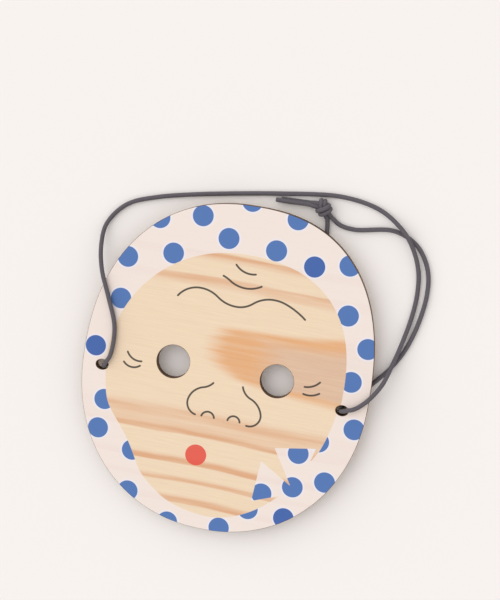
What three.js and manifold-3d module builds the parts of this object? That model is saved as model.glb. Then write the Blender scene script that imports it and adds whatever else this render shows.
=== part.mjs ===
// Folk mask: a flat softwood board, cut to an oval, with round eye holes and one elastic cord.
// Millimetres. The mask lies on its back: +X to its left cheek, +Y to its forehead, +Z out of its face.
// The origin is the middle of the board, halfway through its thickness. Left and right in the names below are
// as the face is seen from the front.

import * as THREE from "three";
import { mergeVertices } from "three/addons/utils/BufferGeometryUtils.js";
import Module from "manifold-3d";

const wasm = await Module();
wasm.setup();

// Board
const BOARD_THICKNESS = 6;
const BOARD_HALF_WIDTH = 86.5;
const WIDEST_Y = -5.5;
const FOREHEAD_RISE = 104.3;
const CHIN_DROP = 93.3;
const FOREHEAD_SQUARENESS = 2.33;
const CHIN_SQUARENESS = 2.12;
const FOREHEAD_LEAN = 4;
const OUTLINE_STEPS = 160;

// Holes: the eyes, and the two that the cord goes through
const EYE_RADIUS = 10;
const EYES = [
  [-31.9, -0.8],
  [31.1, -0.8],
];
const EYE_STEPS = 48;
const CORD_HOLE_RADII = [3.8, 3.1];
const LEFT_CORD_HOLE = [-74.3, -10.7];
const RIGHT_CORD_HOLE = [71.8, -10.7];
const CORD_HOLE_STEPS = 24;

// Cord
const CORD_DIAMETER = 2.6;
const CORD_SIDES = 8;
const CORD_STEPS = 86;
const BEND_RADIUS = 2 * CORD_DIAMETER;
const BEND_ANGLES = [-90, -30, 30, 90];
const BEND_LEAD = 3;
const LOW = -BEND_RADIUS;

// Where the cord passes in each hole, how far off it turns about, and the headings, in degrees from +X,
// in which its two strands leave
const LEFT_PASS = [-72.9, -10.9];
const RIGHT_PASS = [71.9, -10.9];
const PASS_TO_BEND_AXIS = 3.9;
const RIGHT_BACK_HEADING = 54;
const RIGHT_FRONT_HEADING = 22;
const LEFT_FRONT_HEADING = 65;
const LEFT_BACK_HEADING = 60;

// Route of the cord, as points that its centre line goes through.
// From the knot it lies on the table, out to the right and back under the board to the right hole.
const KNOT_TO_RIGHT_HOLE = [
  [45.9, 99.4, -4.4],
  [51.2, 96, LOW],
  [60, 94.8, LOW],
  [83, 98, LOW],
  [97, 92.2, LOW],
  [105.6, 80, LOW],
  [108.2, 64, LOW],
  [103.9, 36.9, LOW],
  [96.5, 20.2, LOW],
  [84, 4, LOW],
];
// Over the face and the board's edge, across the first strand, round the forehead and back onto the face.
const RIGHT_HOLE_TO_LEFT_HOLE = [
  [82.2, -5.4, 4.9],
  [87.1, 0.3, 4.7],
  [92.5, 9.5, 2.6],
  [95.8, 20.5, -1.2],
  [98.4, 31, -2.2],
  [101.6, 48, -4.8],
  [102.6, 64, LOW],
  [100.4, 79, -4.4],
  [93.2, 93.5, -2],
  [84.5, 102, -3],
  [72, 108.9, -4.9],
  [51, 112.3, LOW],
  [20, 109, LOW],
  [-58, 93.4, LOW],
  [-76.5, 85.3, LOW],
  [-86, 72.5, -4.2],
  [-86.6, 60, -0.8],
  [-82.8, 46, 4.2],
  [-76.5, 31.1, 4.8],
  [-70.4, 15.5, 4.7],
  [-69.2, 5, 4.7],
];
// Under the board, clear of the eyes, and out again at the forehead to the knot.
const LEFT_HOLE_TO_KNOT = [
  [-60, 14, LOW],
  [-36, 38, LOW],
  [4, 50, LOW],
  [36, 64, LOW],
  [44.4, 84, LOW],
  [44.1, 94.6, -4.9],
  [43.6, 97.4, -4.4],
];

// Knot: both ends of the cord, tied together in one overhand knot
const KNOT_CENTRE = [41.2, 104, -1.65];
const KNOT_CORE_RADII = [4.5, 4.9, 4.4];
const STRAND_GAP = 0.9 * CORD_DIAMETER;
const WRAP_SIDES = 8;
const WRAP_STEPS = 20;
// Each pair of wraps is a ring round the core: its radius, and the way its axis points and where it sits
const WRAPS = [
  { radius: 3.5, turn: 28, tilt: 72, at: [-0.5, -1.6, 0] },
  { radius: 3.1, turn: 92, tilt: 80, at: [-0.8, 1.9, 0.2] },
];
// The cord's two ends run left from the knot, the upper one lying on the lower
const LOWER_TAIL = [
  [39, 105.6, -4.6],
  [30, 105.7, LOW],
  [15, 105.1, LOW],
];
const UPPER_TAIL = [
  [39, 105.2, -2.2],
  [30, 104.9, -2.9],
  [20, 104.4, -3.1],
  [12, 104.3, -3.4],
];
const TAIL_STEPS = 6;
// Slivers left by the joins, shorter than this, are merged away
const SMALLEST_EDGE = 0.03;

const wood = new THREE.MeshStandardMaterial({ color: 0xf0dcc0, roughness: 0.62, metalness: 0 });
const elastic = new THREE.MeshStandardMaterial({ color: 0x55535a, roughness: 0.8, metalness: 0 });

// A curve whose steps are spread evenly over its points, so that the tight bends get as many as the long runs
class PointSpacedCurve extends THREE.CatmullRomCurve3 {
  getUtoTmapping(u) {
    return u;
  }
}

function radians(degrees) {
  return (degrees * Math.PI) / 180;
}

function signedPower(value, power) {
  return Math.sign(value) * Math.abs(value) ** power;
}

// The board's edge at one angle: a squarish oval, longer and leaning to one side above its widest line
function boardEdge(angle) {
  const above = Math.sin(angle) > 0;
  const squareness = above ? FOREHEAD_SQUARENESS : CHIN_SQUARENESS;
  const height = above ? FOREHEAD_RISE : CHIN_DROP;
  const across = signedPower(Math.cos(angle), 2 / squareness);
  const along = signedPower(Math.sin(angle), 2 / squareness);
  const lean = above ? FOREHEAD_LEAN * along ** 2 : 0;
  return new THREE.Vector2(BOARD_HALF_WIDTH * across + lean, WIDEST_Y + height * along);
}

function ovalPoints([x, y], [across, along], steps) {
  const points = [];
  for (let i = 0; i < steps; i += 1) {
    const angle = (2 * Math.PI * i) / steps;
    points.push(new THREE.Vector2(x + across * Math.cos(angle), y + along * Math.sin(angle)));
  }
  return points;
}

function boardGeometry() {
  const edge = [];
  for (let i = 0; i < OUTLINE_STEPS; i += 1) {
    edge.push(boardEdge((2 * Math.PI * i) / OUTLINE_STEPS));
  }
  const shape = new THREE.Shape(edge);
  for (const eye of EYES) {
    shape.holes.push(new THREE.Path(ovalPoints(eye, [EYE_RADIUS, EYE_RADIUS], EYE_STEPS)));
  }
  for (const hole of [LEFT_CORD_HOLE, RIGHT_CORD_HOLE]) {
    shape.holes.push(new THREE.Path(ovalPoints(hole, CORD_HOLE_RADII, CORD_HOLE_STEPS)));
  }
  const geometry = new THREE.ExtrudeGeometry(shape, { depth: BOARD_THICKNESS, bevelEnabled: false });
  geometry.translate(0, 0, -BOARD_THICKNESS / 2);
  return geometry;
}

function pointFrom([x, y], heading, distance, height) {
  return [x + distance * Math.cos(radians(heading)), y + distance * Math.sin(radians(heading)), height];
}

// The cord's U-turn through a hole, with a short straight lead at each end, from the back strand to the front one
function bendThroughHole(pass, backHeading, frontHeading) {
  const bend = BEND_ANGLES.map((degrees) => {
    const part = (degrees + 90) / 180;
    const heading = backHeading + part * (frontHeading - backHeading);
    const distance = PASS_TO_BEND_AXIS - BEND_RADIUS * Math.cos(radians(degrees));
    return pointFrom(pass, heading, distance, BEND_RADIUS * Math.sin(radians(degrees)));
  });
  const leadEnd = PASS_TO_BEND_AXIS + BEND_LEAD;
  return [
    pointFrom(pass, backHeading, leadEnd, -BEND_RADIUS),
    ...bend,
    pointFrom(pass, frontHeading, leadEnd, BEND_RADIUS),
  ];
}

function cordRoute() {
  return [
    ...KNOT_TO_RIGHT_HOLE,
    ...bendThroughHole(RIGHT_PASS, RIGHT_BACK_HEADING, RIGHT_FRONT_HEADING),
    ...RIGHT_HOLE_TO_LEFT_HOLE,
    ...bendThroughHole(LEFT_PASS, LEFT_BACK_HEADING, LEFT_FRONT_HEADING).reverse(),
    ...LEFT_HOLE_TO_KNOT,
  ];
}

function cordTube(points, steps) {
  const path = new PointSpacedCurve(points.map((point) => new THREE.Vector3(...point)));
  const section = new THREE.Shape(ovalPoints([0, 0], [CORD_DIAMETER / 2, CORD_DIAMETER / 2], CORD_SIDES));
  return new THREE.ExtrudeGeometry(section, { steps, extrudePath: path, bevelEnabled: false });
}

function solid(geometry) {
  const bare = geometry.clone();
  bare.deleteAttribute("normal");
  bare.deleteAttribute("uv");
  const merged = mergeVertices(bare, 1e-4);
  const vertProperties = new Float32Array(merged.attributes.position.array);
  const triVerts = new Uint32Array(merged.index.array);
  return new wasm.Manifold(new wasm.Mesh({ numProp: 3, vertProperties, triVerts }));
}

function solidGeometry(body) {
  const mesh = body.getMesh();
  const geometry = new THREE.BufferGeometry();
  geometry.setAttribute("position", new THREE.BufferAttribute(mesh.vertProperties, 3));
  geometry.setIndex(new THREE.BufferAttribute(mesh.triVerts, 1));
  geometry.computeVertexNormals();
  return geometry;
}

// Two strands side by side round the knot's core, turned half a step apart so that their corners don't meet
function wrapSolids({ radius, turn, tilt, at }) {
  return [-0.5, 0.5].map((side) => {
    const ring = new THREE.TorusGeometry(radius, CORD_DIAMETER / 2, WRAP_SIDES, WRAP_STEPS);
    ring.rotateZ((side * Math.PI) / WRAP_STEPS);
    ring.translate(0, 0, side * STRAND_GAP);
    ring.rotateX(radians(tilt));
    ring.rotateZ(radians(turn));
    ring.translate(KNOT_CENTRE[0] + at[0], KNOT_CENTRE[1] + at[1], KNOT_CENTRE[2] + at[2]);
    return solid(ring);
  });
}

function knotGeometry() {
  const core = new THREE.SphereGeometry(1, 16, 10);
  core.scale(...KNOT_CORE_RADII);
  core.translate(...KNOT_CENTRE);
  const pieces = [
    ...WRAPS.flatMap(wrapSolids),
    solid(cordTube(LOWER_TAIL, TAIL_STEPS)),
    solid(cordTube(UPPER_TAIL, TAIL_STEPS)),
  ];
  const knot = pieces.reduce((whole, piece) => whole.add(piece), solid(core));
  return solidGeometry(knot.asOriginal().simplify(SMALLEST_EDGE));
}

function namedMesh(name, geometry, material) {
  const mesh = new THREE.Mesh(geometry, material);
  mesh.name = name;
  return mesh;
}

const mask = new THREE.Group();
mask.add(namedMesh("mask_board", boardGeometry(), wood));
mask.add(namedMesh("strap_cord", cordTube(cordRoute(), CORD_STEPS), elastic));
mask.add(namedMesh("strap_knot", knotGeometry(), elastic));

export default mask;
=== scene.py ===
# Folk mask: a flat softwood board printed with a comic face in a dotted kerchief, on one elastic cord.
# Metres. The mask lies on its back: +X to its left cheek, +Y to its forehead, +Z out of its face.

from math import ceil, cos, pi, radians, sin

import bmesh
import bpy
import numpy as np
from mathutils import Euler, Matrix, Vector


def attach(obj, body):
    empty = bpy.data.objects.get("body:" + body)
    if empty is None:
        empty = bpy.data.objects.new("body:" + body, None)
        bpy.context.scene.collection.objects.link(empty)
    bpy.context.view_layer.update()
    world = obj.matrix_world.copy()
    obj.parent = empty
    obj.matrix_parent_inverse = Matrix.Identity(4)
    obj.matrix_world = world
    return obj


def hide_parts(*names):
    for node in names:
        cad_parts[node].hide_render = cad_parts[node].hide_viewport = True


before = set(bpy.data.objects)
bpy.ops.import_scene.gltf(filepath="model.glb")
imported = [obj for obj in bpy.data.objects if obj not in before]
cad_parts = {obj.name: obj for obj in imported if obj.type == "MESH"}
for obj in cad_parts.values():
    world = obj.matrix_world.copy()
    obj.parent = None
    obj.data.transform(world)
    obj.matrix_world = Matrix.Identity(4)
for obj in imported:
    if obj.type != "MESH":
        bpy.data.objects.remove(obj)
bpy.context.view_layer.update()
scene = bpy.context.scene


# Camera
# A long lens above the forehead's left side, looking almost straight down and a little turned.
LENS_PLACE = Vector((0.1028, 0.1662, 0.803))
LENS_TURN = Euler((radians(-7.387), radians(8.13), radians(9.498)))
LENS_LENGTH = 99.97

camera_data = bpy.data.cameras.new("camera")
camera_data.sensor_fit = "HORIZONTAL"
camera_data.sensor_width = 36
camera_data.lens = LENS_LENGTH
camera = bpy.data.objects.new("camera", camera_data)
camera.matrix_world = Matrix.Translation(LENS_PLACE) @ LENS_TURN.to_matrix().to_4x4()
scene.collection.objects.link(camera)
scene.camera = camera


# Elastic cord
# One round braided elastic, 2.6 mm thick, both its ends tied in one knot above the forehead.
# It lies on the table and under the board, and comes up through the hole at each temple.
CORD_DIAMETER = 0.0026
CORD_SIDES = 16
CORD_RING_STEP = 0.0007
BEND_RADIUS = 2 * CORD_DIAMETER
# The height of the cord's middle where it lies low, and then its route, from the knot round to the knot
LOW = -BEND_RADIUS
KNOT_TO_RIGHT_HOLE = [
    (0.0459, 0.0994, -0.0044),
    (0.0512, 0.096, LOW),
    (0.06, 0.0948, LOW),
    (0.083, 0.098, LOW),
    (0.097, 0.0922, LOW),
    (0.1056, 0.08, LOW),
    (0.1082, 0.064, LOW),
    (0.1039, 0.0369, LOW),
    (0.0965, 0.0202, LOW),
    (0.084, 0.004, LOW),
]
RIGHT_HOLE_TO_LEFT_HOLE = [
    (0.0822, -0.0054, 0.0049),
    (0.0871, 0.0003, 0.0047),
    (0.0925, 0.0095, 0.0026),
    (0.0958, 0.0205, -0.0012),
    (0.0984, 0.031, -0.0022),
    (0.1016, 0.048, -0.0048),
    (0.1026, 0.064, LOW),
    (0.1004, 0.079, -0.0044),
    (0.0932, 0.0935, -0.002),
    (0.0845, 0.102, -0.003),
    (0.072, 0.1089, -0.0049),
    (0.051, 0.1123, LOW),
    (0.02, 0.109, LOW),
    (-0.058, 0.0934, LOW),
    (-0.0765, 0.0853, LOW),
    (-0.086, 0.0725, -0.0042),
    (-0.0866, 0.06, -0.0008),
    (-0.0828, 0.046, 0.0042),
    (-0.0765, 0.0311, 0.0048),
    (-0.0704, 0.0155, 0.0047),
    (-0.0692, 0.005, 0.0047),
]
LEFT_HOLE_TO_KNOT = [
    (-0.06, 0.014, LOW),
    (-0.036, 0.038, LOW),
    (0.004, 0.05, LOW),
    (0.036, 0.064, LOW),
    (0.0444, 0.084, LOW),
    (0.0441, 0.0946, -0.0049),
    (0.0436, 0.0974, -0.0044),
]
# Where the cord passes in each hole, and the headings, in degrees from +X, in which its strands leave there:
# first the one under the board, then the one over it
LEFT_PASS = (-0.0729, -0.0109)
LEFT_HEADINGS = (60, 65)
RIGHT_PASS = (0.0719, -0.0109)
RIGHT_HEADINGS = (54, 22)
PASS_TO_BEND_AXIS = 0.0039
BEND_ANGLES = (-90, -30, 30, 90)
BEND_LEAD = 0.003


def point_from(place, heading, distance, height):
    """A point at that distance and heading, in degrees from +X, from a place."""
    return (
        place[0] + distance * cos(radians(heading)),
        place[1] + distance * sin(radians(heading)),
        height,
    )


def bend_through_hole(middle, back_heading, front_heading):
    """The U-turn of the cord through a hole, from under the board to the top of it."""
    points = [point_from(middle, back_heading, PASS_TO_BEND_AXIS + BEND_LEAD, -BEND_RADIUS)]
    for angle in BEND_ANGLES:
        part = (angle + 90) / 180
        heading = back_heading + part * (front_heading - back_heading)
        distance = PASS_TO_BEND_AXIS - BEND_RADIUS * cos(radians(angle))
        points.append(point_from(middle, heading, distance, BEND_RADIUS * sin(radians(angle))))
    points.append(point_from(middle, front_heading, PASS_TO_BEND_AXIS + BEND_LEAD, BEND_RADIUS))
    return points


def smooth_line(points, step):
    """A centripetal Catmull-Rom curve through the points, with a vertex about every step."""
    points = np.array(points, float)
    first = 2 * points[0] - points[1]
    last = 2 * points[-1] - points[-2]
    guides = np.vstack([first, points, last])
    line = []
    for a, b, c, d in zip(guides, guides[1:], guides[2:], guides[3:]):
        ab, bc, cd = (np.linalg.norm(v) ** 0.5 for v in (b - a, c - b, d - c))
        leave = bc * ((b - a) / ab - (c - a) / (ab + bc) + (c - b) / bc)
        arrive = bc * ((c - b) / bc - (d - b) / (bc + cd) + (d - c) / cd)
        count = max(2, ceil(np.linalg.norm(c - b) / step))
        for t in np.arange(count)[:, None] / count:
            bend = (2 * t**3 - 3 * t**2 + 1) * b + (3 * t**2 - 2 * t**3) * c
            line.append(bend + (t**3 - 2 * t**2 + t) * leave + (t**3 - t**2) * arrive)
    return np.vstack(line + [points[-1]])


def cord_tube(name, lines):
    """Round tubes along the lines, in one object, with U in metres along each and V once round it."""
    shape = bmesh.new()
    unwrap = shape.loops.layers.uv.new("braid")
    for line in lines:
        tangents = np.gradient(line, axis=0)
        travelled = np.concatenate([[0], np.cumsum(np.linalg.norm(np.diff(line, axis=0), axis=1))])
        side = Vector(tangents[0]).orthogonal()
        rings = []
        for point, tangent in zip(line, tangents):
            tangent = Vector(tangent).normalized()
            side = (side - side.dot(tangent) * tangent).normalized()
            other = tangent.cross(side)
            ring = []
            for i in range(CORD_SIDES):
                angle = 2 * pi * i / CORD_SIDES
                out = side * cos(angle) + other * sin(angle)
                ring.append(shape.verts.new(Vector(point) + out * CORD_DIAMETER / 2))
            rings.append(ring)
        for row, (ring, next_ring) in enumerate(zip(rings, rings[1:])):
            for i in range(CORD_SIDES):
                j = (i + 1) % CORD_SIDES
                face = shape.faces.new((ring[i], ring[j], next_ring[j], next_ring[i]))
                corners = ((row, i), (row, i + 1), (row + 1, i + 1), (row + 1, i))
                for loop, (along, around) in zip(face.loops, corners):
                    loop[unwrap].uv = (travelled[along], around / CORD_SIDES)
                face.smooth = True
        shape.faces.new(rings[0][::-1])
        shape.faces.new(rings[-1])
    mesh = bpy.data.meshes.new(name)
    shape.to_mesh(mesh)
    shape.free()
    tube = bpy.data.objects.new(name, mesh)
    scene.collection.objects.link(tube)
    return tube


def colour(code):
    """A shader colour from a screen colour such as "#f0dcc0"."""
    parts = [int(code[i : i + 2], 16) / 255 for i in (1, 3, 5)]
    return [c / 12.92 if c <= 0.04045 else ((c + 0.055) / 1.055) ** 2.4 for c in parts] + [1.0]


class Link:
    """A shader's socket. Python's operators on it add Math nodes, and node() adds any other node."""

    def __init__(self, tree, socket=None):
        self.tree = tree
        self.socket = socket

    def node(self, kind, inputs, output=0, **settings):
        made = self.tree.nodes.new(kind)
        for name, value in settings.items():
            setattr(made, name, value)
        for name, value in inputs.items():
            if isinstance(value, Link):
                self.tree.links.new(value.socket, made.inputs[name])
            else:
                made.inputs[name].default_value = value
        return Link(self.tree, made.outputs[output])

    def math(self, operation, *values):
        return self.node("ShaderNodeMath", dict(enumerate(values)), operation=operation)

    def __add__(self, other):
        return self.math("ADD", self, other)

    def __sub__(self, other):
        return self.math("SUBTRACT", self, other)

    def __rsub__(self, other):
        return self.math("SUBTRACT", other, self)

    def __mul__(self, other):
        return self.math("MULTIPLY", self, other)

    def __truediv__(self, other):
        return self.math("DIVIDE", self, other)

    def __pow__(self, other):
        return self.math("POWER", self, other)

    __radd__ = __add__
    __rmul__ = __mul__

    def __abs__(self):
        return self.math("ABSOLUTE", self)

    def __gt__(self, other):
        return self.math("GREATER_THAN", self, other)

    def less(self, other):
        return self.math("MINIMUM", self, other)

    def more(self, other):
        return self.math("MAXIMUM", self, other)

    def rise(self, low, high):
        """0 below low and 1 above high, smooth between them. It falls where high is under low."""
        ends = {"Value": self, "From Min": low, "From Max": high}
        return self.node("ShaderNodeMapRange", ends, interpolation_type="SMOOTHSTEP")

    def vector(self, operation, *values, output=0):
        return self.node("ShaderNodeVectorMath", dict(enumerate(values)), output, operation=operation)

    def noise(self, point, scale, detail, stretch=(1, 1, 1)):
        """Smooth noise, 0 to 1, on points whose axes are first multiplied by stretch."""
        inputs = {"Vector": self.vector("MULTIPLY", point, stretch), "Scale": scale, "Detail": detail}
        return self.node("ShaderNodeTexNoise", inputs)

    def mix(self, factor, below, above, **settings):
        """A colour between two others, or the one blended over the other."""
        return self.node("ShaderNodeMix", {0: factor, 6: below, 7: above}, 2, data_type="RGBA", **settings)

    def finish(self, shader_name, bump=None, bump_depth=0.0, **inputs):
        """Sets the surface's shader, with its bump in metres."""
        shader = self.tree.nodes[shader_name]
        if bump is not None:
            relief = {"Height": bump, "Distance": bump_depth, "Strength": 1.0}
            inputs["Normal"] = self.node("ShaderNodeBump", relief)
        for name, value in inputs.items():
            name = name.replace("_", " ")
            if isinstance(value, Link):
                self.tree.links.new(value.socket, shader.inputs[name])
            else:
                shader.inputs[name].default_value = value


def new_surface(name):
    """A new material, and a link that makes its nodes."""
    material = bpy.data.materials.new(name)
    material.use_nodes = True
    return material, Link(material.node_tree)


# The braid's colour holds painted shade: each yarn is lighter on its crown and darker into the grooves
# between yarns, with fine random fuzz.
BRAID_YARNS = 8
BRAID_PITCH = 0.0075
BRAID_GROOVE_SHADE = colour("#2a282c")
BRAID_LIGHT = colour("#7c787f")
BRAID_RELIEF = 0.00012
FUZZ_FINENESS = 2500
FUZZ_SHARE = 0.3

braided_elastic, surface = new_surface("braided_elastic")
place = surface.node("ShaderNodeUVMap", {}, uv_map="braid")
along = surface.node("ShaderNodeSeparateXYZ", {"Vector": place}, "X")
around = surface.node("ShaderNodeSeparateXYZ", {"Vector": place}, "Y")
left_lay = (around + along / BRAID_PITCH) * BRAID_YARNS
right_lay = (around - along / BRAID_PITCH) * BRAID_YARNS
left_cell = surface.math("FLOOR", left_lay)
right_cell = surface.math("FLOOR", right_lay)
left_yarn = 1 - abs((left_lay - left_cell) * 2 - 1) ** 2
right_yarn = 1 - abs((right_lay - right_cell) * 2 - 1) ** 2
left_on_top = surface.math("FLOORED_MODULO", left_cell + right_cell, 2)
yarn = left_on_top * left_yarn + (1 - left_on_top) * right_yarn
fuzz = surface.noise(surface.node("ShaderNodeTexCoord", {}, "Object"), FUZZ_FINENESS, detail=3)
# Painted shade in the grooves between yarns, mixed with fine random fuzz
groove_shade_and_fuzz = yarn * (1 - FUZZ_SHARE) + fuzz * FUZZ_SHARE
surface.finish(
    "Principled BSDF",
    bump=yarn + fuzz * FUZZ_SHARE,
    bump_depth=BRAID_RELIEF,
    Base_Color=surface.mix(groove_shade_and_fuzz, BRAID_GROOVE_SHADE, BRAID_LIGHT),
    Roughness=0.8,
    Specular_IOR_Level=0.15,
)

cord_points = (
    KNOT_TO_RIGHT_HOLE
    + bend_through_hole(RIGHT_PASS, *RIGHT_HEADINGS)
    + RIGHT_HOLE_TO_LEFT_HOLE
    + bend_through_hole(LEFT_PASS, *LEFT_HEADINGS)[::-1]
    + LEFT_HOLE_TO_KNOT
)
cord_line = smooth_line(cord_points, CORD_RING_STEP)
cord = cord_tube("elastic_cord", [cord_line])
cord.data.materials.append(braided_elastic)
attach(cord, "root")
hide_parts("strap_cord")


# Knot
# Both ends of the cord are tied together in one overhand knot, so it is two strands thick all through.
# Each strand starts as a loose loop of listed points and is then pulled tight, as the real one was.
KNOT_PULLS = 160
KNOT_STEP = 0.0008
KNOT_SQUEEZED = 0.00225
KNOT_SLACK_END_X = 0.032
KNOT_NEIGHBOURS = 4
KNOT_PULL = 0.25
KNOT_PRESSES = 6
KNOT_PRESS = 0.5
RIGHT_STRAND = [
    (0.0459, 0.0994, -0.0044),
    (0.0442, 0.1006, -0.0039),
    (0.0429, 0.1023, -0.0024),
    (0.0418, 0.1043, -0.001),
    (0.0412, 0.1066, -0.0001),
    (0.041, 0.1084, -0.0009),
    (0.0409, 0.1092, -0.0029),
    (0.0408, 0.1083, -0.0049),
    (0.0404, 0.1058, -0.0053),
    (0.0394, 0.103, -0.0053),
    (0.0382, 0.101, -0.0049),
    (0.0374, 0.0998, -0.0036),
    (0.0374, 0.0993, -0.0015),
    (0.0386, 0.0997, 0.0003),
    (0.0408, 0.101, 0.0012),
    (0.043, 0.1024, 0.001),
    (0.0447, 0.1033, -0.0004),
    (0.045, 0.1039, -0.0024),
    (0.0438, 0.1041, -0.0034),
    (0.0415, 0.1042, -0.0029),
    (0.0385, 0.1043, -0.0026),
    (0.0355, 0.1047, -0.0024),
    (0.0325, 0.105, -0.0026),
    (0.03, 0.1049, -0.0029),
    (0.02, 0.1044, -0.0031),
    (0.012, 0.1043, -0.0034),
]
LEFT_STRAND = [
    (0.0436, 0.0974, -0.0044),
    (0.0432, 0.0994, -0.0039),
    (0.0417, 0.1014, -0.0025),
    (0.0398, 0.1036, -0.0009),
    (0.0389, 0.1062, 0.0001),
    (0.0386, 0.1082, -0.0007),
    (0.0385, 0.1091, -0.0028),
    (0.0384, 0.1082, -0.0049),
    (0.038, 0.1058, -0.0053),
    (0.0372, 0.1036, -0.0053),
    (0.0363, 0.1021, -0.0044),
    (0.036, 0.1013, -0.0024),
    (0.0366, 0.1013, -0.0006),
    (0.0382, 0.1022, 0.0009),
    (0.0402, 0.1037, 0.0019),
    (0.042, 0.1052, 0.0017),
    (0.0434, 0.1064, 0.0002),
    (0.044, 0.107, -0.0018),
    (0.0432, 0.1068, -0.0032),
    (0.0413, 0.1066, -0.0028),
    (0.0385, 0.1065, -0.0026),
    (0.0358, 0.1062, -0.0032),
    (0.033, 0.1058, -0.0044),
    (0.03, 0.1057, -0.0052),
    (0.015, 0.1051, -0.0052),
]


def evenly_spaced(line, step):
    """The same line with its vertices the same distance apart."""
    travelled = np.concatenate([[0], np.cumsum(np.linalg.norm(np.diff(line, axis=0), axis=1))])
    places = np.linspace(0, travelled[-1], max(2, round(travelled[-1] / step)) + 1)
    return np.stack([np.interp(places, travelled, line[:, axis]) for axis in range(3)], axis=1)


def pulled_tight(strands):
    """Shortens the strands between their ends while they press on each other and on the table."""
    for _ in range(KNOT_PULLS):
        strands = [evenly_spaced(strand, KNOT_STEP) for strand in strands]
        free = []
        for strand in strands:
            order = np.arange(len(strand))
            tail = (strand[:, 0] < KNOT_SLACK_END_X) & (order > len(strand) / 2)
            free.append((order > 1) & ~tail)
            to_straight = (strand[:-2] + strand[2:]) / 2 - strand[1:-1]
            strand[1:-1] += KNOT_PULL * to_straight * free[-1][1:-1, None]
        points = np.vstack(strands)
        loose = np.concatenate(free)[:, None]
        owner = np.repeat(range(len(strands)), [len(strand) for strand in strands])
        order = np.concatenate([np.arange(len(strand)) for strand in strands])
        apart = abs(order[:, None] - order) > KNOT_NEIGHBOURS
        can_touch = apart | (owner[:, None] != owner)
        for _ in range(KNOT_PRESSES):
            ways = points[:, None] - points
            gaps = np.linalg.norm(ways, axis=2)
            overlaps = np.where(can_touch, np.clip(KNOT_SQUEEZED - gaps, 0, None), 0)
            pushes = (ways / np.maximum(gaps, 1e-9)[..., None] * overlaps[..., None]).sum(axis=1)
            touching = np.maximum((overlaps > 0).sum(axis=1), 1)[:, None]
            points += KNOT_PRESS * pushes / touching * loose
            points[:, 2] = np.maximum(points[:, 2], LOW)
        strands = np.split(points, np.cumsum([len(strand) for strand in strands])[:-1])
    return strands


knot_lines = pulled_tight([smooth_line(strand, KNOT_STEP) for strand in (RIGHT_STRAND, LEFT_STRAND)])
knot_lines = [smooth_line(line, KNOT_STEP / 4) for line in knot_lines]
knot_lines = [evenly_spaced(line, CORD_RING_STEP / 2) for line in knot_lines]
knot = cord_tube("overhand_knot", knot_lines)
knot.data.materials.append(braided_elastic)
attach(knot, "root")
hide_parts("strap_knot")


# Board
# One sheet of pale softwood, its edge and holes cut by a laser, which leaves their walls burnt brown.
# The face and the kerchief are printed flat on its top. The kerchief has a thin white ground under its dots.
RIM_ROUNDING = 0.0003
TO_MILLIMETRES = 1000

board = bpy.data.objects.new("printed_board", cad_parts["mask_board"].data.copy())
scene.collection.objects.link(board)
bpy.ops.object.select_all(action="DESELECT")
board.select_set(True)
bpy.context.view_layer.objects.active = board
bpy.ops.object.mode_set(mode="EDIT")
bpy.ops.mesh.select_all(action="SELECT")
bpy.ops.mesh.customdata_custom_splitnormals_clear()
bpy.ops.mesh.remove_doubles(threshold=1e-6)
bpy.ops.mesh.dissolve_limited(angle_limit=radians(0.5))
bpy.ops.object.mode_set(mode="OBJECT")
rounding = board.modifiers.new("rounded rim", "BEVEL")
rounding.width = RIM_ROUNDING
rounding.segments = 2
rounding.use_clamp_overlap = False
rounding.limit_method = "ANGLE"
rounding.angle_limit = radians(40)
bpy.ops.object.modifier_apply(modifier=rounding.name)
bpy.ops.object.shade_smooth_by_angle(angle=radians(20))
board.data.materials.clear()

printed_wood, surface = new_surface("printed_wood")
place = surface.node("ShaderNodeTexCoord", {}, "Object")
place = surface.node("ShaderNodeVectorMath", {0: place, "Scale": TO_MILLIMETRES}, operation="SCALE")
x = surface.node("ShaderNodeSeparateXYZ", {"Vector": place}, "X")
y = surface.node("ShaderNodeSeparateXYZ", {"Vector": place}, "Y")
z = surface.node("ShaderNodeSeparateXYZ", {"Vector": place}, "Z")
on_print = surface.vector("MULTIPLY", place, (1, 1, 0))

# The grain, in millimetres: rings that run across the face, and the shadow of a knot beside the left eye.
# Each ring has the place and softness of its dark edge, how far it fades from there, and its strength.
WOOD_PALE = colour("#f5e0c4")
WOOD_RING = colour("#e4b28a")
FIBRE_DARK = colour("#efebe7")
FIBRE_LIGHT = colour("#ffffff")
WAVE_MIDDLE = -6
WAVE_LENGTH = 15
WAVE_DEPTH = 0.6
RIPPLE_DEPTH = 1.6
RIPPLE_NOISE = {"scale": 0.12, "detail": 3, "stretch": (0.3, 1, 1)}
STREAK_NOISE = {"scale": 0.35, "detail": 4, "stretch": (0.05, 1, 1)}
FIBRE_NOISE = {"scale": 1.6, "detail": 3, "stretch": (0.03, 1, 1)}
RINGS = [
    (-85.9, 0.6, 5.5, 0.95),
    (-72.9, 0.6, 4, 0.8),
    (-61.8, 0.6, 5.5, 1),
    (-43.7, 0.6, 5, 0.5),
    (-43.7, 0.6, 20, 0.36),
    (-34, 2.5, 8, 0.45),
    (53.4, 0.6, -8, 0.65),
    (67.5, 0.8, -6, 0.75),
]
RING_FADE_START = 0.25
SHADOW_ORANGE = colour("#ebb583")
SHADOW_PINK = colour("#e3c2a6")
SHADOW_TIP = -18
SHADOW_TIP_LENGTH = 18
SHADOW_LENGTH = 78
SHADOW_AXIS = 12.8
SHADOW_UP = 12.4
SHADOW_WIDENING = 0.0011
SHADOW_DOWN = 22
SHADOW_BLUNTNESS = 0.25
SHADOW_THINNEST = 0.01
SHADOW_RIPPLE = 0.8
TIP_ROUNDNESS = 0.045
FINGER_LENGTH = 12
ORANGE_TIP_END = (38, 10)
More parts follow.
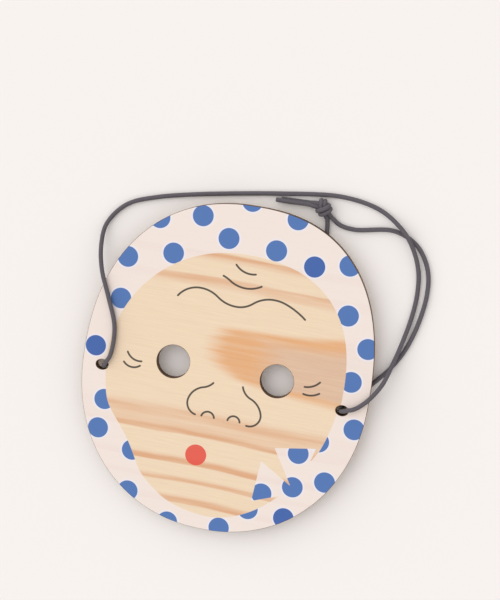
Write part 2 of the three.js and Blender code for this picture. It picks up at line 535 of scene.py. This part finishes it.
# Where the shadow ends, and where its orange rims begin and end, as shares of its reach to either side
SHADOW_END = (1.18, 0.85)
UPPER_RIM = (0.2, 0.9)
LOWER_RIM = (0.78, 0.95)
# How strong rings, rims and shadow are where there is no streak, and how much a full streak adds
RING_STREAKS = (0.1, 1.8)
RIM_STREAKS = (0.6, 0.8)
SHADOW_STREAKS = (0.42, 1)
SHADOW_FIBRES = 0.1

wave = (x - WAVE_MIDDLE) / WAVE_LENGTH
ripple = (surface.noise(place, **RIPPLE_NOISE) - 0.5) * RIPPLE_DEPTH
grain_y = y - surface.math("COSINE", wave) * WAVE_DEPTH + ripple
streaks = surface.noise(place, **STREAK_NOISE)
fibres = surface.noise(place, **FIBRE_NOISE)


def streaky(weakest, added):
    """A strength that varies with the wood's streaks."""
    return weakest + streaks * added


rings = 0
for edge, softness, fade, strength in RINGS:
    behind = (grain_y - edge) / fade
    blur = softness / abs(fade)
    rings += behind.rise(-blur, blur) * behind.rise(1, RING_FADE_START) * strength
rings = rings * streaky(*RING_STREAKS)
wood = surface.mix(rings.less(1), WOOD_PALE, WOOD_RING)

from_tip = x - SHADOW_TIP
spread = (from_tip / SHADOW_LENGTH).more(SHADOW_THINNEST) ** SHADOW_BLUNTNESS
off_axis = y + ripple * SHADOW_RIPPLE - SHADOW_AXIS
above_axis = off_axis / (SHADOW_UP + x * x * SHADOW_WIDENING)
below_axis = (0 - off_axis) / (spread * SHADOW_DOWN)
fingers = from_tip - off_axis * off_axis * TIP_ROUNDNESS + (streaks - 0.5) * FINGER_LENGTH
shadow = above_axis.more(below_axis).rise(*SHADOW_END) * fingers.rise(0, SHADOW_TIP_LENGTH)
shadow = shadow * (streaky(*SHADOW_STREAKS) + fibres * SHADOW_FIBRES)
orange = above_axis.rise(*UPPER_RIM).more(below_axis.rise(*LOWER_RIM)).more(x.rise(*ORANGE_TIP_END))
orange = (orange * streaky(*RIM_STREAKS)).less(1)
wood = surface.mix(shadow.less(1), wood, surface.mix(orange, SHADOW_PINK, SHADOW_ORANGE))
wood = surface.mix(1.0, wood, surface.mix(fibres, FIBRE_DARK, FIBRE_LIGHT), blend_type="MULTIPLY")

# The print's outlines, in millimetres. A distance is negative inside its shape.
# The face is a squarish oval of four unlike quarters. The jaw and the kerchief's two pointed ends cut it.
INK_EDGE = 0.12
FACE_MIDDLE = (3.3, -2.5)
FACE_LEFT = 75.4
BROW_RIGHT = 67.5
CHEEK_RIGHT = 66.5
FACE_UP = 72.4
FACE_DOWN = 87.8
FACE_LEAN = -2.7
BROW_LEFT_SQUARENESS = 1.95
BROW_RIGHT_SQUARENESS = 2.55
CHEEK_LEFT_SQUARENESS = 2.05
CHEEK_RIGHT_SQUARENESS = 1.85
CHEEK_STEP = (-14, -6)
OVAL_UNIT = 72
JAW_TOP = (-66.5, -35)
JAW_CORNER = (-51.1, -53.4)
JAW_FOOT = (-41.6, -72)
CHIN_CUT = (-33, -79.3)
JAW_ROUNDING = 4
CHEEK_CUT = [(63.1, -37.4), (58.4, -45.4)]
UPPER_EAR = [(36.5, -40.7), (60.7, -36.3), (53.5, -67.9)]
LOWER_EAR = [(29.8, -50.1), (54.8, -64.7), (28, -75.4)]


def beside(start, end):
    """The distance to a line through two points, negative on its right, seen from the start."""
    run, climb = end[0] - start[0], end[1] - start[1]
    across = Vector((-climb, run, 0)).normalized()
    reach = across.dot(Vector((*start, 0)))
    return surface.vector("DOT_PRODUCT", place, across, output="Value") - reach


def triangle(a, b, c):
    """The distance to a triangle whose corners go clockwise."""
    return beside(a, b).more(beside(b, c)).more(beside(c, a))


def rounded_quarter(width, height, squareness):
    """The reach of one quarter of the face's squarish oval, 1 on its edge."""
    return (face_across / width) ** squareness + (face_along / height) ** squareness


above = y > FACE_MIDDLE[1]
face_along = abs(y - FACE_MIDDLE[1])
shift = above * FACE_LEAN * (face_along / FACE_UP) ** 2
from_axis = x - shift - FACE_MIDDLE[0]
face_across = abs(from_axis)
on_right = from_axis > 0
upper = (1 - on_right) * rounded_quarter(FACE_LEFT, FACE_UP, BROW_LEFT_SQUARENESS)
upper += on_right * rounded_quarter(BROW_RIGHT, FACE_UP, BROW_RIGHT_SQUARENESS)
lower = (1 - on_right) * rounded_quarter(FACE_LEFT, FACE_DOWN, CHEEK_LEFT_SQUARENESS)
right_reach = y.rise(*CHEEK_STEP) * (BROW_RIGHT - CHEEK_RIGHT) + CHEEK_RIGHT
lower += on_right * rounded_quarter(right_reach, FACE_DOWN, CHEEK_RIGHT_SQUARENESS)
oval = (above * upper + (1 - above) * lower) ** 0.5
face = (oval - 1) * OVAL_UNIT
jaw = surface.math("SMOOTH_MIN", beside(JAW_CORNER, JAW_TOP), beside(JAW_FOOT, JAW_CORNER), JAW_ROUNDING)
jaw = surface.math("SMOOTH_MAX", jaw, beside(CHIN_CUT, JAW_FOOT), JAW_ROUNDING)
ears = triangle(*UPPER_EAR).less(triangle(*LOWER_EAR))
face = surface.math("SMOOTH_MAX", face, jaw, JAW_ROUNDING)
face = face.more(beside(*CHEEK_CUT)).more(0 - ears)
kerchief = face.rise(-INK_EDGE, INK_EDGE)

# The kerchief's dots, each with a paler rim, and the mouth
DOT_RADIUS = 6.2
DOT_RIM = (1.3, 0.7)
DOTS = [
    (-28, 88),
    (-10.8, 77.5),
    (18, 75.3),
    (27.4, 95.5),
    (-0.6, 101.4),
    (61.7, 74.3),
    (-53.2, 82.4),
    (-68.7, 56.3),
    (-41.9, 63.2),
    (-69, 31),
    (65.7, 45.3),
    (80.4, 28),
    (74.2, 7),
    (80.8, -20.6),
    (-69.7, -31.4),
    (-71, -49.4),
    (-48.3, -58.9),
    (-47.1, -84.3),
    (-20.2, -98.4),
    (11.4, -95.7),
    (69.2, -55.4),
    (50.9, -62.1),
    (50.9, -41.3),
    (33.2, -69.7),
]
DOTS_BESIDE_EARS = [(61.6, -32), (26.7, -80.8)]
DEEP_DOTS = [(41.5, 70), (-79.8, 0), (48.8, -81.9)]
MOUTH = (-9.5, -54.3)
MOUTH_RADIUS = 6.4


def from_point(point):
    """The distance to a point of the print."""
    return surface.vector("DISTANCE", on_print, (*point, 0), output="Value")


def nearest_of(points):
    """The distance to the nearest of some points of the print."""
    nearest = from_point(points[0])
    for point in points[1:]:
        nearest = nearest.less(from_point(point))
    return nearest


deep_gap = nearest_of(DEEP_DOTS) - DOT_RADIUS
dot_gap = (nearest_of(DOTS_BESIDE_EARS) - DOT_RADIUS).more(0 - ears)
dot_gap = dot_gap.less(nearest_of(DOTS) - DOT_RADIUS).less(deep_gap)
dots = dot_gap.rise(INK_EDGE, -INK_EDGE) * kerchief
dot_rims = dot_gap.rise(*DOT_RIM) * kerchief
mouth = (from_point(MOUTH) - MOUTH_RADIUS).rise(INK_EDGE, -INK_EDGE)

# The face's lines. Each is a row of arcs, given by points: an arc's two ends and its middle between them.
LINE_HALF = 0.58
FACE_LINES = [
    [
        (-35.4, 38.9),
        (-29.8, 44),
        (-22.4, 45.8),
        (-16.8, 44.9),
        (-11.7, 42.3),
        (-6.3, 39.5),
        (-0.3, 38.5),
        (5, 39.4),
        (9.7, 42.2),
        (15.2, 45.4),
        (21.5, 46.5),
        (25.3, 46.2),
        (29, 45.2),
        (35.4, 42.3),
        (41.3, 38.4),
    ],
    [(-3.9, 63.1), (1, 59.8), (8.3, 59.4)],
    [(-10.4, 55.3), (-7.8, 54.2), (-5.5, 52.8), (2.5, 50.3), (12.9, 53)],
    [(-60, -0.1), (-56.5, -3.6), (-50.9, -4.4)],
    [(-61.4, -6.5), (-56.5, -8.9), (-51.4, -7.2)],
    [(47.8, -0.9), (52.3, 0.2), (56.3, 3.4)],
    [(47.7, -5.2), (51.9, -5.4), (57, -3.3)],
    [
        (-6, -9),
        (-8.6, -11.4),
        (-11.9, -12.8),
        (-17.2, -16.4),
        (-19.6, -21.6),
        (-18.6, -26.6),
        (-13.9, -29.9),
    ],
    [
        (11.8, -8.1),
        (13.7, -11.6),
        (17.5, -14.3),
        (22.5, -17.9),
        (25.1, -23.4),
        (23.3, -28.8),
        (17.5, -30.8),
    ],
    [(-10, -29.9), (-6.1, -26.8), (-2.3, -29.9)],
    [(5.9, -29.6), (9.6, -26.5), (13.3, -29.6)],
]


def from_arc(start, middle, end):
    """The distance to an arc, under half a turn, through three points. Its start is left to the caller."""
    a, b, c = (Vector(point) for point in (start, middle, end))
    chord = c - a
    half = chord.length / 2
    across = Vector((-chord.y, chord.x)).normalized()
    height = across.dot(b - a)
    offset = chord.normalized().dot(b - a) - half
    rise_to_centre = (offset**2 + height**2 - half**2) / (2 * height)
    centre = a + chord / 2 + across * rise_to_centre
    ring = abs(from_point(centre) - (a - centre).length)
    first, last = (a, c) if height > 0 else (c, a)
    beyond_ends = beside(centre, first).more(beside(last, centre))
    return ring.more(beyond_ends + LINE_HALF).less(from_point(c))


nearest_line = from_point(FACE_LINES[0][0])
for line in FACE_LINES:
    nearest_line = nearest_line.less(from_point(line[0]))
    for start, middle, end in zip(line[::2], line[1::2], line[2::2]):
        nearest_line = nearest_line.less(from_arc(start, middle, end))
face_lines = (nearest_line - LINE_HALF).rise(INK_EDGE, -INK_EDGE)

# The inks, one over the other, and the burnt walls. A cover is how much an ink hides of what it lies on.
GROUND_WHITE = colour("#f0e6e1")
DOT_WHITE = colour("#ebe9f2")
DOT_BLUE = colour("#3e6eb3")
DEEP_BLUE = colour("#2459a8")
MOUTH_RED = colour("#e34d3d")
LINE_GREY = colour("#38342a")
BURNT = colour("#6b4826")
BURNT_DARK = colour("#3d2812")
BURN_NOISE = {"scale": 1.2, "detail": 3, "stretch": (1, 1, 0.05)}
GROUND_COVER = 0.86
GROUND_UNEVENNESS = 0.12
RIM_COVER = 0.8
DOT_COVER = 0.97
INK_COVER = 0.95
# The heights, in millimetres, between which the print ends and the burnt wall begins
PRINT_END = (2.7, 2.95)
BURN_START = (2.999, 2.95)
FIBRE_RELIEF = 0.6
STREAK_RELIEF = 0.4
WOOD_RELIEF = 0.00006
BARE_ROUGHNESS = 0.62
INK_GLOSS = 0.12

top = z.rise(*PRINT_END)
ground = kerchief * (GROUND_COVER + (fibres - 0.5) * GROUND_UNEVENNESS)
printed = surface.mix(ground, wood, GROUND_WHITE)
printed = surface.mix(dot_rims * RIM_COVER, printed, DOT_WHITE)
blue = surface.mix(deep_gap.rise(1, 0), DOT_BLUE, DEEP_BLUE)
printed = surface.mix(dots * DOT_COVER, printed, blue)
printed = surface.mix(mouth * INK_COVER, printed, MOUTH_RED)
printed = surface.mix(face_lines * INK_COVER, printed, LINE_GREY)
faces = surface.mix(top, wood, printed)
burn_lines = surface.noise(place, **BURN_NOISE)
walls = surface.mix(burn_lines, BURNT_DARK, BURNT)
wall = abs(z).rise(*BURN_START)
inked = (kerchief + face_lines + mouth).less(1) * top
surface.finish(
    "Principled BSDF",
    bump=fibres * FIBRE_RELIEF + streaks * STREAK_RELIEF + (1 - top) * burn_lines,
    bump_depth=WOOD_RELIEF,
    Base_Color=surface.mix(wall, faces, walls),
    Roughness=BARE_ROUGHNESS - inked * INK_GLOSS,
)
board.data.materials.append(printed_wood)
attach(board, "root")
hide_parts("mask_board")


# Table and light
# A pale table under the cord, broad low light from the upper left, and a pale room that fills the shadows.
TABLE_TOP = -0.0066
TABLE_SIZE = 6
TABLE_COLOUR = colour("#f6f3f1")
WINDOW_WAY = Vector((-0.88, 0.47, 0.85))
WINDOW_ANGLE = 70
WINDOW_STRENGTH = 0.95
ROOM_COLOUR = colour("#fffbf9")
ROOM_STRENGTH = 0.83

bpy.ops.object.select_all(action="DESELECT")
bpy.ops.mesh.primitive_plane_add(size=TABLE_SIZE, location=(0, 0, TABLE_TOP))
table = bpy.context.object
table.name = "table"
bpy.ops.object.transform_apply(location=True, rotation=True, scale=True)
pale_card, surface = new_surface("pale_card")
surface.finish("Principled BSDF", Base_Color=TABLE_COLOUR, Roughness=0.9)
table.data.materials.append(pale_card)

window_data = bpy.data.lights.new("window", "SUN")
window_data.angle = radians(WINDOW_ANGLE)
window_data.energy = WINDOW_STRENGTH
window = bpy.data.objects.new("window", window_data)
window.rotation_euler = WINDOW_WAY.to_track_quat("Z", "Y").to_euler()
scene.collection.objects.link(window)

room = bpy.data.worlds.new("room")
room.use_nodes = True
room.node_tree.nodes["Background"].inputs["Color"].default_value = ROOM_COLOUR
room.node_tree.nodes["Background"].inputs["Strength"].default_value = ROOM_STRENGTH
scene.world = room
scene.view_settings.view_transform = "Standard"
